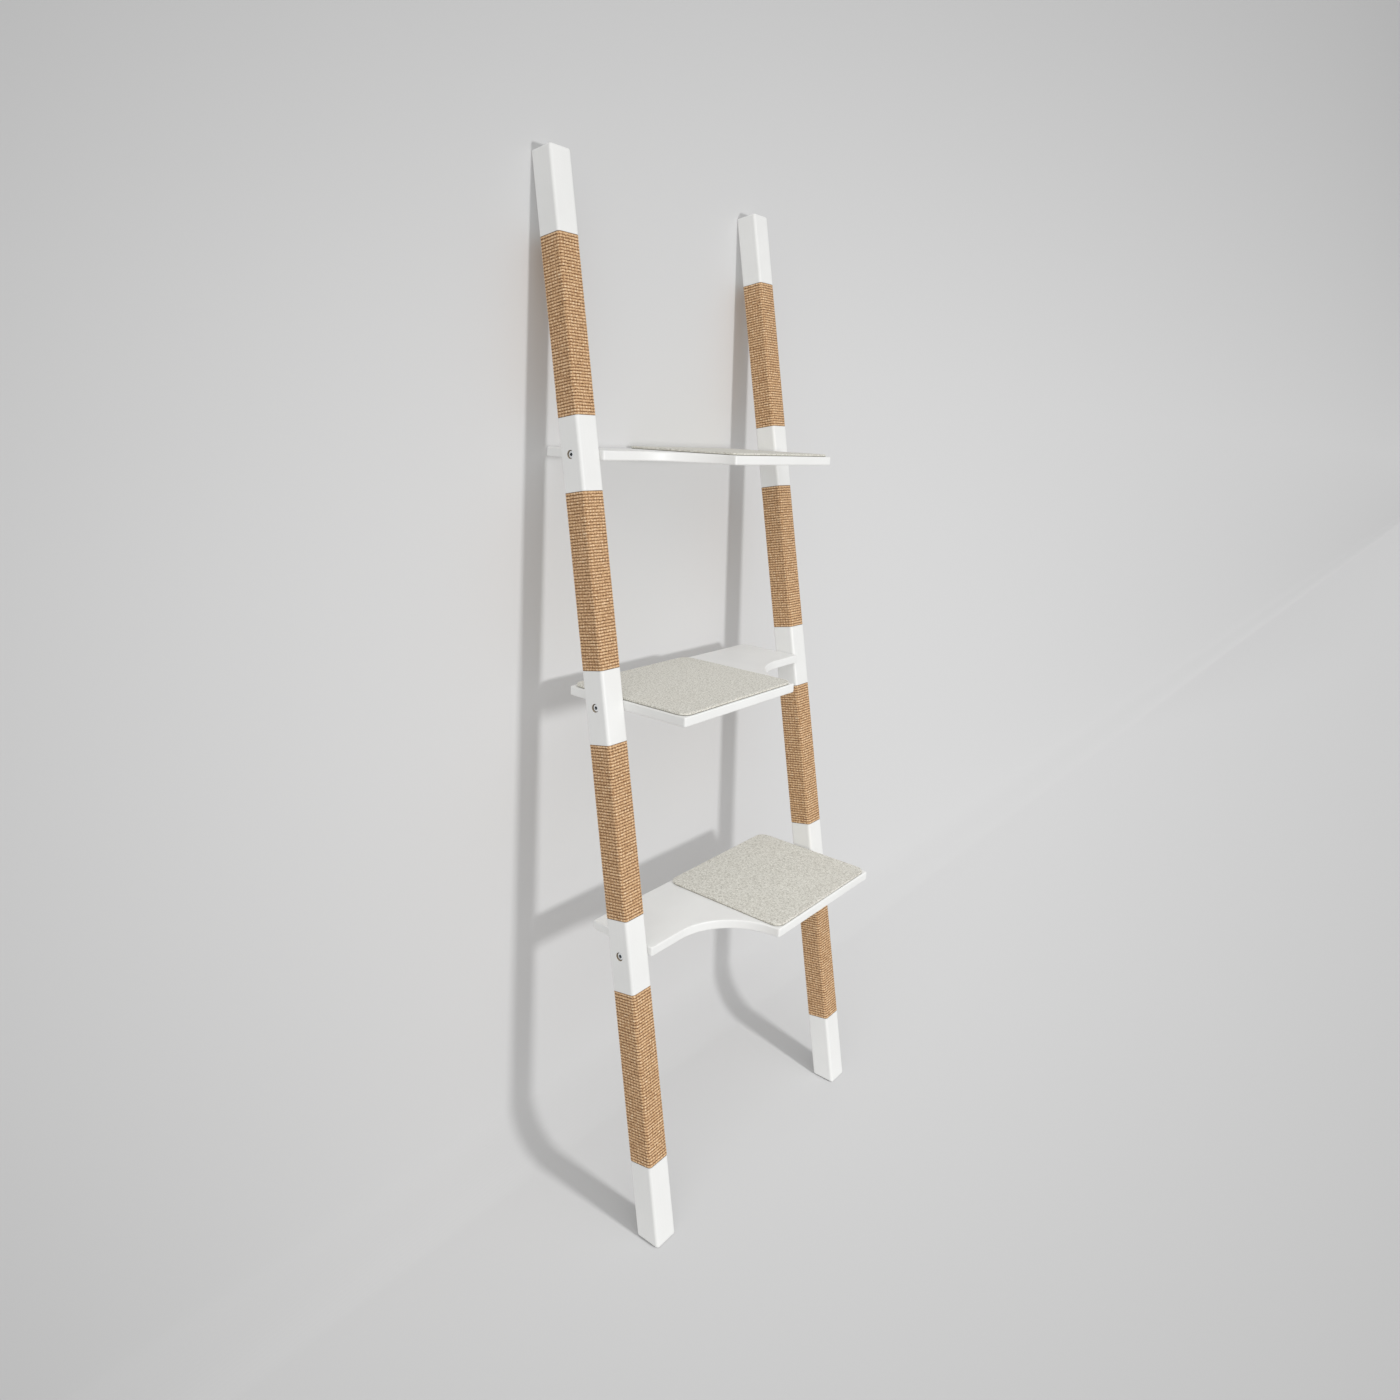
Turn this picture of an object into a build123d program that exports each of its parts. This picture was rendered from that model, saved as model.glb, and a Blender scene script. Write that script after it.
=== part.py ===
from build123d import *
from math import cos, radians, sin, tan
import os

# A ladder for a cat that leans on a wall: two white posts with flush sisal sleeves carry three shelves.
# Each shelf is a wide platform with a felt pad, a narrow neck, and a quarter-round cove between them
# that the cat climbs up through. The middle shelf is turned over, so the platforms alternate.
# All lengths are in millimetres. X runs along the wall, +Y points at the wall and Z is up.
# The origin is on the floor, under the middle of the ladder's width and depth.

# Stance
LEAN = 10.2  # degrees that the posts lean back from upright

# Posts, measured along their own length from the floor
POST_SIDE = 50
POST_EDGE_RADIUS = 6
POST_TOP_BEVEL = 2.5
FOOT_BEVEL = 2
FOOT_BARE_LENGTH = 145
TOP_BARE_LENGTH = 150
WALL_FLAT_HEIGHT = 18  # upright cut on the top back edge, which rests on the wall

# Sisal sleeves, glued into recesses so that they finish almost flush with the wood
SLEEVE_COUNT = 4
SLEEVE_LENGTH = 316
SLEEVE_SPACING = 132  # bare band between two sleeves
SLEEVE_THICKNESS = 4
SLEEVE_PROUD = 0.4
SLEEVE_SEAM = 1.5
SLEEVE_END_GAP = 0.3
SLEEVE_GLUE = 0.2

# Shelves, with depths measured from the middle of the posts
SHELF_LENGTH = 555
SHELF_THICKNESS = 18
SHELF_BACK = 115
SHELF_FRONT = 165
SHELF_EDGE_BEVEL = 3
NECK_LENGTH = 83  # the straight stretch before the cove
NECK_OVERHANG = 8  # how far the neck stands out past the front of the post

# Felt pads
PAD_MARGIN = 3
PAD_THICKNESS = 5
PAD_CORNER_RADIUS = 20
PAD_EDGE_BEVEL = 1.2

# Bolts with a hexagon socket
BOLT_DIAMETER = 8
BOLT_HOLE_CLEARANCE = 0.5
BOLT_GRIP_IN_SHELF = 20
BOLT_END_ROOM = 4  # from the bolt's tip to the bottom of the bore in the shelf
HEAD_DIAMETER = 13
HEAD_HEIGHT = 8
HEAD_CHAMFER = 0.6
HEAD_RECESS = 2.5  # from the post's face down to the bolt's head
COUNTERBORE_CLEARANCE = 1.2
KEY_WIDTH = 6
KEY_DEPTH = 4

# Dowels, glued into the ends of the shelves behind each bolt
DOWEL_DIAMETER = 8
DOWEL_IN_POST = 18
DOWEL_END_ROOM = 1
DOWEL_WEB = 6  # wood left in the post between a dowel and the bolt

# Rubber pads glued under the feet
FOOT_PAD_MARGIN = 4
FOOT_PAD_THICKNESS = 1.5

# Fits and tools
FIT_CLEARANCE = 0.1  # radial, round dowels and bolt threads
OVERRUN = 5  # how far a cutting tool runs past the face that it cuts

# Worked out from the sizes above
SLOPE = radians(LEAN)
SLEEVE_PITCH = SLEEVE_LENGTH + SLEEVE_SPACING
TOP_SLEEVE_END = FOOT_BARE_LENGTH + SLEEVE_COUNT * SLEEVE_PITCH - SLEEVE_SPACING
POST_LENGTH = TOP_SLEEVE_END + TOP_BARE_LENGTH
RECESSED_SIDE = POST_SIDE - 2 * (SLEEVE_THICKNESS + SLEEVE_GLUE - SLEEVE_PROUD)
POST_MIDDLE_X = (SHELF_LENGTH + POST_SIDE) / 2
SHELF_DEPTH = SHELF_BACK + SHELF_FRONT
NECK_DEPTH = SHELF_BACK + POST_SIDE / 2 + NECK_OVERHANG
COVE_RADIUS = SHELF_DEPTH - NECK_DEPTH
PLATFORM_LENGTH = SHELF_LENGTH - NECK_LENGTH - COVE_RADIUS
COUNTERBORE_DEPTH = HEAD_HEIGHT + HEAD_RECESS
DOWEL_FROM_BOLT = (BOLT_DIAMETER + DOWEL_DIAMETER) / 2 + BOLT_HOLE_CLEARANCE + DOWEL_WEB

SIDES = {"left": -1, "right": 1}
SHELVES = ("lower", "middle", "upper")
TURNED_SHELVES = ("middle",)


def joint_distance(level):
    """Distance along a post from the floor to the middle of the bare band that holds a shelf."""
    return FOOT_BARE_LENGTH + level * SLEEVE_PITCH + SLEEVE_LENGTH + SLEEVE_SPACING / 2


def leant_back(distance, behind=0):
    """How far towards the wall a point on a post has come, from its distance along the middle line."""
    return distance * sin(SLOPE) + behind * cos(SLOPE)


# Depths measured from the middle of the feet, and the shift that centres them on the origin
WALL_FROM_FOOT = leant_back(POST_LENGTH - WALL_FLAT_HEIGHT * cos(SLOPE), POST_SIDE / 2)
REAR_FROM_FOOT = max(WALL_FROM_FOOT, leant_back(joint_distance(len(SHELVES) - 1)) + SHELF_BACK)
FRONT_FROM_FOOT = leant_back(joint_distance(0)) - SHELF_FRONT
FOOT_Y = -(REAR_FROM_FOOT + FRONT_FROM_FOOT) / 2


def joint_point(level, side):
    """Middle of the face where a post meets the end of a shelf."""
    distance = joint_distance(level)
    return Vector(side * SHELF_LENGTH / 2, FOOT_Y + leant_back(distance), distance * cos(SLOPE))


def foot_point(side):
    """Middle of the level cut at a foot."""
    return Vector(side * POST_MIDDLE_X, FOOT_Y + FOOT_PAD_THICKNESS * tan(SLOPE), FOOT_PAD_THICKNESS)


def dowel_point(level, side):
    """Middle of a joint's dowel, level with its bolt and nearer the wall."""
    return joint_point(level, side) + Vector(0, DOWEL_FROM_BOLT, 0)


def outwards(point, side, distance):
    """The point shifted away from the middle of the ladder."""
    return point + Vector(side * distance, 0, 0)


def rod(radius, start, length, side):
    """Round bar that runs outwards from its inner end."""
    bar = Cylinder(radius, length, align=(Align.CENTER, Align.CENTER, Align.MIN))
    return Pos(*start) * Rot(0, side * 90, 0) * bar


def on_post(shape, side):
    """Tilt a shape that was made upright about the origin onto the line of a post."""
    return Pos(side * POST_MIDDLE_X, FOOT_Y, 0) * Rot(-LEAN, 0, 0) * shape


def sleeve_start(number):
    """Distance along a post to the lower end of a sleeve."""
    return FOOT_BARE_LENGTH + number * SLEEVE_PITCH


def sleeve_recess(number):
    """Ring that is cut out of the post to take a sleeve."""
    ring = Rectangle(POST_SIDE + OVERRUN, POST_SIDE + OVERRUN)
    ring -= Rectangle(RECESSED_SIDE, RECESSED_SIDE)
    return Pos(0, 0, sleeve_start(number)) * extrude(ring, SLEEVE_LENGTH)


def upright_post():
    """Post before it is tilted. It starts a post's width under the floor, to be cut level later."""
    section = RectangleRounded(POST_SIDE, POST_SIDE, POST_EDGE_RADIUS)
    post = Pos(0, 0, -POST_SIDE) * extrude(section, POST_SIDE + POST_LENGTH)
    post = chamfer(post.faces().sort_by(Axis.Z)[-1].edges(), POST_TOP_BEVEL)
    for number in range(SLEEVE_COUNT):
        post -= sleeve_recess(number)
    return post


def cut_ends(post):
    """Saw the foot level for its pad and the top back edge upright for the wall."""
    post = split(post, Plane(origin=(0, 0, FOOT_PAD_THICKNESS)), keep=Keep.TOP)
    post = chamfer(post.faces().sort_by(Axis.Z)[0].edges(), FOOT_BEVEL)
    wall = Plane(origin=(0, FOOT_Y + WALL_FROM_FOOT, 0), z_dir=(0, 1, 0))
    return split(post, wall, keep=Keep.BOTTOM)


def post_holes(level, side):
    """Bolt hole, counterbore and blind dowel hole where a post carries a shelf."""
    mouth = outwards(joint_point(level, side), side, -OVERRUN)
    head_seat = outwards(joint_point(level, side), side, POST_SIDE - COUNTERBORE_DEPTH)
    bolt_hole = rod(BOLT_DIAMETER / 2 + BOLT_HOLE_CLEARANCE, mouth, POST_SIDE, side)
    counterbore_radius = HEAD_DIAMETER / 2 + COUNTERBORE_CLEARANCE
    holes = bolt_hole + rod(counterbore_radius, head_seat, COUNTERBORE_DEPTH + OVERRUN, side)
    dowel_mouth = outwards(dowel_point(level, side), side, -OVERRUN)
    dowel_depth = DOWEL_IN_POST + DOWEL_END_ROOM + OVERRUN
    return holes + rod(DOWEL_DIAMETER / 2 + FIT_CLEARANCE, dowel_mouth, dowel_depth, side)


def make_post(side):
    """Leaning post with its recesses, cut ends and holes."""
    post = cut_ends(on_post(upright_post(), side))
    for level in range(len(SHELVES)):
        post -= post_holes(level, side)
    return post


def make_sleeve(side, number):
    """Sisal matting wrapped round the post, with its butt seam on the wall side."""
    inner_side = RECESSED_SIDE + 2 * SLEEVE_GLUE
    outer_side = inner_side + 2 * SLEEVE_THICKNESS
    ring = RectangleRounded(outer_side, outer_side, POST_EDGE_RADIUS + SLEEVE_PROUD)
    ring -= Rectangle(inner_side, inner_side)
    ring -= Pos(0, outer_side / 2) * Rectangle(SLEEVE_SEAM, outer_side / 2)
    sleeve = extrude(ring, SLEEVE_LENGTH - 2 * SLEEVE_END_GAP)
    return on_post(Pos(0, 0, sleeve_start(number) + SLEEVE_END_GAP) * sleeve, side)


def shelf_outline():
    """Plan of a shelf, from its back left corner, with the neck on the left."""
    back_left = (Align.MIN, Align.MAX)
    plan = Rectangle(SHELF_LENGTH, NECK_DEPTH, align=back_left)
    plan += Pos(NECK_LENGTH, 0) * Rectangle(SHELF_LENGTH - NECK_LENGTH, SHELF_DEPTH, align=back_left)
    return plan - Pos(NECK_LENGTH, -SHELF_DEPTH) * Circle(COVE_RADIUS)


def place_on_level(shape, level):
    """Move a shape from the plan of a shelf to its level, and turn it over on a turned shelf."""
    back_left = joint_point(level, SIDES["left"]) + Vector(0, SHELF_BACK, 0)
    placed = Pos(*back_left) * shape
    if SHELVES[level] in TURNED_SHELVES:
        placed = mirror(placed, Plane.YZ)
    return placed


def bolt_bore(level, side):
    """Bore of the threaded insert in the end of a shelf. The insert is one piece with the board here."""
    depth = BOLT_GRIP_IN_SHELF + BOLT_END_ROOM
    bottom = outwards(joint_point(level, side), side, -depth)
    return rod(BOLT_DIAMETER / 2 + FIT_CLEARANCE, bottom, depth + OVERRUN, side)


def dowel(level, side):
    """Dowel, half in a shelf and half out of its end, and one piece with the board that it is glued into."""
    rooted_end = outwards(dowel_point(level, side), side, -DOWEL_IN_POST)
    return rod(DOWEL_DIAMETER / 2, rooted_end, 2 * DOWEL_IN_POST, side)


def make_shelf(level):
    """Board with a cove, bevelled edges, and a bore and a dowel in each end."""
    board = extrude(shelf_outline(), SHELF_THICKNESS / 2, both=True)
    board = chamfer(board.faces().filter_by(Axis.Z).edges(), SHELF_EDGE_BEVEL)
    board = place_on_level(board, level)
    for side in SIDES.values():
        board += dowel(level, side)
        board -= bolt_bore(level, side)
    return board


def make_felt_pad(level):
    """Felt pad that covers the platform as far as its bevelled edges."""
    length = PLATFORM_LENGTH - 2 * PAD_MARGIN
    depth = SHELF_DEPTH - 2 * PAD_MARGIN
    pad = extrude(RectangleRounded(length, depth, PAD_CORNER_RADIUS), PAD_THICKNESS)
    pad = chamfer(pad.faces().sort_by(Axis.Z)[-1].edges(), PAD_EDGE_BEVEL)
    middle = (SHELF_LENGTH - PLATFORM_LENGTH / 2, -SHELF_DEPTH / 2, SHELF_THICKNESS / 2)
    return place_on_level(Pos(*middle) * pad, level)


def bolt_head():
    """Head with a hexagon socket, made upright with its seat at the origin."""
    head = Cylinder(HEAD_DIAMETER / 2, HEAD_HEIGHT, align=(Align.CENTER, Align.CENTER, Align.MIN))
    head = chamfer(head.edges().sort_by(Axis.Z)[-1], HEAD_CHAMFER)
    socket = extrude(RegularPolygon(KEY_WIDTH / 2, 6, major_radius=False), KEY_DEPTH + OVERRUN)
    return head - Pos(0, 0, HEAD_HEIGHT - KEY_DEPTH) * socket


def make_bolt(level, side):
    """Bolt seated in its counterbore and screwed into the end of the shelf."""
    grip_in_post = POST_SIDE - COUNTERBORE_DEPTH
    tip = outwards(joint_point(level, side), side, -BOLT_GRIP_IN_SHELF)
    length = BOLT_GRIP_IN_SHELF + grip_in_post + (HEAD_HEIGHT - KEY_DEPTH) / 2
    shank = rod(BOLT_DIAMETER / 2, tip, length, side)
    seat = outwards(joint_point(level, side), side, grip_in_post)
    return shank + Pos(*seat) * Rot(0, side * 90, 0) * bolt_head()


def make_foot_pad(side):
    """Rubber pad under a foot, on which the ladder stands."""
    pad_side = POST_SIDE - 2 * FOOT_PAD_MARGIN
    on_top_middle = (Align.CENTER, Align.CENTER, Align.MAX)
    return Pos(*foot_point(side)) * Box(pad_side, pad_side, FOOT_PAD_THICKNESS, align=on_top_middle)


def make_nodes():
    """Every piece of the ladder by name."""
    nodes = {}
    for side_name, side in SIDES.items():
        nodes[f"{side_name}_post"] = make_post(side)
        nodes[f"{side_name}_foot_pad"] = make_foot_pad(side)
        for number in range(SLEEVE_COUNT):
            nodes[f"{side_name}_sleeve_{number + 1}"] = make_sleeve(side, number)
        for level, name in enumerate(SHELVES):
            nodes[f"{name}_{side_name}_bolt"] = make_bolt(level, side)
    for level, name in enumerate(SHELVES):
        nodes[f"{name}_shelf"] = make_shelf(level)
        nodes[f"{name}_felt_pad"] = make_felt_pad(level)
    return nodes


os.makedirs("parts", exist_ok=True)
for node_name, node in make_nodes().items():
    export_step(node, f"parts/{node_name}.step")
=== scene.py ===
# %% [markdown]
# # A leaning scratching ladder for a cat
# Two white lacquered posts lean on a wall. Sisal matting is let into them, and three coved boards
# between them carry felt pads. The cat scratches on the sisal, climbs through the coves and lies on
# the felt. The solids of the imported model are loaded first. They give every place and size here, and
# each cell then builds one piece over them, in metres: +Z is up and +Y points at the wall.

from math import cos, pi, radians, sin, tan

import bmesh
import bpy
from mathutils import Matrix, Vector, noise


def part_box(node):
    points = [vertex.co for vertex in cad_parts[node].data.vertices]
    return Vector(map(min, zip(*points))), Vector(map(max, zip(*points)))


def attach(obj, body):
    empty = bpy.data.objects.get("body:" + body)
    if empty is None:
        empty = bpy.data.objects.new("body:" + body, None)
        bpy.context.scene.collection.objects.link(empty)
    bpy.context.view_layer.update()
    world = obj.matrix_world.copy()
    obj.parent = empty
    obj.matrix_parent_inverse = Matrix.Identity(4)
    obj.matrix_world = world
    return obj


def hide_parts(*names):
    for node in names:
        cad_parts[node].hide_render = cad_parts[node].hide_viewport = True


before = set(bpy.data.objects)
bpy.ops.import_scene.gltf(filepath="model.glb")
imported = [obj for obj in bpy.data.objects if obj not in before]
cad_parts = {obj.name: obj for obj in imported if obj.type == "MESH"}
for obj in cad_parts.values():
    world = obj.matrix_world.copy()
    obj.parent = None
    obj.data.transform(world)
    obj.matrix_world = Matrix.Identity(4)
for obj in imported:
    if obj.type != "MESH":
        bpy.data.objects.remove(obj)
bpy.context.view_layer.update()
print("nodes in the packed model:", len(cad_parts))

# %% [markdown]
# ## Sizes that the pieces share
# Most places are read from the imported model, so that they can't drift from it. What can't be read
# from a box, such as the lean of the posts, is written here once, in the maker's millimetres.

# %% Shared sizes
MM = 0.001
CLOSE = 0.01 * MM  # places that differ by less are the same
LEAN = radians(10.2)
POST_SIDE = 50 * MM
POST_EDGE_RADIUS = 6 * MM
SLEEVE_LENGTH = 316 * MM
SLEEVE_GAP = 132 * MM
FOOT_BARE = 145 * MM
TOP_BARE = 150 * MM
SLEEVE_PROUD = 0.4 * MM
SLEEVE_THICKNESS = 4 * MM
POST_LENGTH = FOOT_BARE + 4 * SLEEVE_LENGTH + 3 * SLEEVE_GAP + TOP_BARE
SIDES = {"left": -1, "right": 1}
LEVELS = ("lower", "middle", "upper")

pad_low, pad_high = (Vector(corner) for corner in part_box("left_foot_pad"))
FOOT_TOP = pad_high.z
post_low, post_high = (Vector(corner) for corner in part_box("left_post"))
POST_X = -(post_low.x + post_high.x) / 2
WALL_Y = post_high.y
FOOT_Y = (pad_low.y + pad_high.y) / 2 - FOOT_TOP * tan(LEAN)
INNER_X = POST_X - POST_SIDE / 2
print(f"posts {2 * POST_X:.3f} m apart, feet at y {FOOT_Y:.4f}, wall at y {WALL_Y:.4f}")

# %% [markdown]
# ## Ways of working
# The pieces are modelled as by hand in edit mode. An operator acts on all that is selected, so
# everything is deselected before a new piece starts, and edges and faces are then picked by their
# place. A finished piece has its place in its mesh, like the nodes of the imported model.


# %% Helpers for modelling
def deselect_all():
    """Leave nothing selected, so that the next operator finds only its own piece."""
    if bpy.context.object and bpy.context.object.mode != "OBJECT":
        bpy.ops.object.mode_set(mode="OBJECT")
    bpy.ops.object.select_all(action="DESELECT")


def take_up(piece):
    """Make one piece the selected and active one."""
    deselect_all()
    piece.select_set(True)
    bpy.context.view_layer.objects.active = piece


def new_block(name, low, high):
    """Start a piece as a block between two corners, in edit mode with all of it selected."""
    deselect_all()
    low, high = Vector(low), Vector(high)
    bpy.ops.mesh.primitive_cube_add(size=1, location=(low + high) / 2)
    block = bpy.context.object
    block.name = block.data.name = name
    block.scale = high - low
    bpy.ops.object.transform_apply(location=True, rotation=True, scale=True)
    bpy.ops.object.mode_set(mode="EDIT")
    bpy.ops.mesh.select_all(action="SELECT")
    return block


def pick(kind, test):
    """In edit mode, select the vertices, edges or faces whose corner places pass a test."""
    mesh = bpy.context.object.data
    picked = bmesh.from_edit_mesh(mesh)
    bpy.ops.mesh.select_mode(type={"verts": "VERT", "edges": "EDGE", "faces": "FACE"}[kind])
    bpy.ops.mesh.select_all(action="DESELECT")
    count = 0
    for element in getattr(picked, kind):
        corners = [element.co] if kind == "verts" else [corner.co for corner in element.verts]
        if test(corners):
            element.select_set(True)
            count += 1
    picked.select_flush_mode()
    bmesh.update_edit_mesh(mesh)
    return count


def use_modifier(piece, kind, **settings):
    """Add a modifier to a piece and apply it."""
    take_up(piece)
    modifier = piece.modifiers.new(kind.title(), kind)
    for name, value in settings.items():
        setattr(modifier, name, value)
    bpy.ops.object.modifier_apply(modifier=modifier.name)


def settle(piece):
    """Write an object's own place and turn into its mesh."""
    take_up(piece)
    bpy.ops.object.transform_apply(location=True, rotation=True, scale=True)


def smooth(piece, angle=40):
    """Shade round surfaces smooth and keep the flat ones flat."""
    take_up(piece)
    bpy.ops.object.shade_smooth_by_angle(angle=radians(angle))
    use_modifier(piece, "WEIGHTED_NORMAL", keep_sharp=True, weight=100)


def paint_faces(piece, material, test):
    """Give another material to the faces of a finished piece whose middle passes a test."""
    piece.data.materials.append(material)
    for face in piece.data.polygons:
        if test(face.center):
            face.material_index = len(piece.data.materials) - 1


def finish_piece(piece, material, slot, *nodes):
    """Give a piece its material, hide the nodes that it stands for, and fix it to the ladder."""
    piece.data.materials.clear()
    piece.data.materials.append(material)
    if nodes:
        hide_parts(*nodes)
    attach(piece, "root")
    print(piece.name, "faces", len(piece.data.polygons))


# %% [markdown]
# ## The camera
# The photograph was taken from the left, a little above the middle of the ladder, with a wide lens.
# Its place and angle come from the corners of the sleeves and boards. The frame is shifted down a
# little, because the photograph was cropped above and below its own middle.

# %% Camera
PHOTO_SIDE = 1400
FOCAL_PIXELS = 973.1
SENSOR_MM = 36
SHIFT_DOWN = 0.0871
FARTHEST = 50
PHOTOGRAPHER = Vector((-1.5285, -1.1359, 1.4542))
heading, dip, tilt = radians(51.965), radians(8.676), radians(-2.719)

ahead = Vector((sin(heading) * cos(dip), cos(heading) * cos(dip), -sin(dip)))
level_right = Vector((cos(heading), -sin(heading), 0))
level_down = ahead.cross(level_right)
right = level_right * cos(tilt) + level_down * sin(tilt)
down = level_down * cos(tilt) - level_right * sin(tilt)

deselect_all()
bpy.ops.object.camera_add()
camera = bpy.context.object
camera.name = "photograph_camera"
axes = Matrix((right, -down, -ahead)).transposed().to_4x4()
camera.matrix_world = Matrix.Translation(PHOTOGRAPHER) @ axes
camera.data.sensor_width = SENSOR_MM
camera.data.lens = FOCAL_PIXELS / PHOTO_SIDE * SENSOR_MM
camera.data.shift_y = -SHIFT_DOWN
camera.data.clip_end = FARTHEST
bpy.context.scene.camera = camera
print(f"lens {camera.data.lens:.2f} mm")

# %% [markdown]
# ## Colours and nodes
# Paint charts and photographs give colours as sRGB hex values, and shaders work in linear light, so
# one function turns the first into the second. One more adds a node with its settings and links,
# and the rest are short ways to add what most materials here need: a sum, a noise, a colour, a relief.


# %% Helpers for materials
def linear(hex_colour):
    """Turn an sRGB hex colour into the linear one that a shader takes."""
    channels = [int(hex_colour[start:start + 2], 16) / 255 for start in (1, 3, 5)]
    return tuple(c / 12.92 if c <= 0.04045 else ((c + 0.055) / 1.055) ** 2.4 for c in channels) + (1,)


def add_node(tree, kind, options=None, inputs=None):
    """Add a node to a tree, set its options, and fill or link its inputs."""
    added = tree.nodes.new("ShaderNode" + kind)
    for name, value in (options or {}).items():
        setattr(added, name, value)
    for name, value in (inputs or {}).items():
        if isinstance(value, bpy.types.NodeSocket):
            tree.links.new(value, added.inputs[name])
        else:
            added.inputs[name].default_value = value
    return added


def calc(tree, operation, *inputs):
    """One operation on numbers, given as its output socket."""
    return add_node(tree, "Math", {"operation": operation}, dict(enumerate(inputs))).outputs[0]


def calc_vector(tree, operation, output, *inputs):
    """One operation on vectors, given as one of its output sockets."""
    return add_node(tree, "VectorMath", {"operation": operation}, dict(enumerate(inputs))).outputs[output]


def new_material(name, **sockets):
    """Start a material whose shader has these plain values on its own sockets."""
    material = bpy.data.materials.new(name)
    material.use_nodes = True
    shader = material.node_tree.nodes["Principled BSDF"]
    for socket, value in sockets.items():
        shader.inputs[socket.replace("_", " ")].default_value = value
    return material, material.node_tree, shader


def tint(tree, shader, value, *stops):
    """Colour a shader by a value, from (value, hex colour) stops."""
    ramp = add_node(tree, "ValToRGB", inputs={"Fac": value})
    elements = ramp.color_ramp.elements
    while len(elements) < len(stops):
        elements.new(0.5)
    for element, (place, colour) in zip(elements, stops):
        element.position = place
        element.color = linear(colour)
    tree.links.new(ramp.outputs["Color"], shader.inputs["Base Color"])


def spots(tree, place, size, detail, **more):
    """Noise whose spots have one size, or a size along each of X, Y and Z."""
    inputs = {"Vector": place, "Scale": 1.0, "Detail": detail, **more}
    if isinstance(size, tuple):
        spread = add_node(tree, "Mapping", inputs={"Vector": place, "Scale": [1 / part for part in size]})
        inputs["Vector"] = spread.outputs["Vector"]
    else:
        inputs["Scale"] = 1 / size
    return add_node(tree, "TexNoise", inputs=inputs).outputs["Fac"]


def emboss(tree, shader, height, strength, depth):
    """Shade a surface as if it rose by this depth where the height is 1, over any relief that it has."""
    bump = add_node(tree, "Bump", inputs={"Height": height, "Strength": strength, "Distance": depth})
    for link in shader.inputs["Normal"].links:
        tree.links.new(link.from_socket, bump.inputs["Normal"])
    tree.links.new(bump.outputs["Normal"], shader.inputs["Normal"])


def mix_shaders(tree, share, first, second):
    """Mix of two shader sockets, all of the second one where the share is 1."""
    mixed = add_node(tree, "MixShader", inputs={0: share, 1: first, 2: second})
    return mixed.outputs["Shader"]


# %% [markdown]
# ## The light
# The shadows in the photograph fall on the wall straight behind the left post, and a little further
# out behind the right one. The upper board hides its own shadow. So there is one lamp, in front of
# the left post and level with the upper board, and the edges of the shadows place it three metres
# from the wall. It is a soft ball of light, as a bulb in a small diffuser. The left sides of the
# posts have no light from it and are still nearly white, so a very broad soft light comes from the
# left and above, and a weak one from all round.

# %% Lamp and fill
bpy.context.scene.view_settings.view_transform = "Standard"
LAMP_PLACE = Vector((-0.285, -2.88, 1.42))
LAMP_WATTS = 140
LAMP_RADIUS = 0.15
FILL_FROM = Vector((-0.83, -0.15, 0.54))
FILL_FROM_THERE, FILL_FROM_ABOVE, FILL_ALL_ROUND = 0.85, 0.6, 0.15
BACKDROP = "#D6D6D6"

deselect_all()
bpy.ops.object.light_add(type="POINT", location=LAMP_PLACE)
lamp = bpy.context.object
lamp.name = "soft_lamp"
lamp.data.energy = LAMP_WATTS
lamp.data.shadow_soft_size = LAMP_RADIUS

world = bpy.data.worlds.new("studio_fill")
bpy.context.scene.world = world
world.use_nodes = True
sky = world.node_tree
direction = add_node(sky, "TexCoord").outputs["Generated"]
rise = add_node(sky, "SeparateXYZ", inputs={0: direction}).outputs["Z"]
from_there = calc(sky, "MAXIMUM", calc_vector(sky, "DOT_PRODUCT", "Value", direction, FILL_FROM), 0.0)
brightness = calc(sky, "MULTIPLY_ADD", rise, FILL_FROM_ABOVE, FILL_ALL_ROUND)
brightness = calc(sky, "MAXIMUM", calc(sky, "MULTIPLY_ADD", from_there, FILL_FROM_THERE, brightness), 0.0)
fill = sky.nodes["Background"]
fill.inputs["Color"].default_value = (1, 1, 1, 1)
sky.links.new(brightness, fill.inputs["Strength"])
backdrop = add_node(sky, "Background", inputs={"Color": linear(BACKDROP), "Strength": 1.0})
ray = add_node(sky, "LightPath").outputs
seen = calc(sky, "MAXIMUM", ray["Is Camera Ray"], ray["Is Transmission Ray"])
seen = calc(sky, "MAXIMUM", seen, ray["Is Glossy Ray"])
shown = mix_shaders(sky, seen, fill.outputs["Background"], backdrop.outputs["Background"])
sky.links.new(shown, sky.nodes["World Output"].inputs["Surface"])
print("lamp", LAMP_WATTS, "watts at", [round(part, 2) for part in LAMP_PLACE])

# %% [markdown]
# ## The studio
# The ladder stands in front of a pale wall that runs into the floor in a small cove, as on a photo
# stage. The profile is drawn as one strip: the floor, a quarter turn spun from its back edge, and
# the wall pulled up from there. It runs far to both sides, so that no end shows.

# %% Floor and wall
COVE_RADIUS = 0.10
STAGE_GAP = 0.3 * MM
STAGE_DEPTH = 14.0
STAGE_LENGTH = 130.0
WALL_HEIGHT = 12.0
COVE_STEPS = 24

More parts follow.
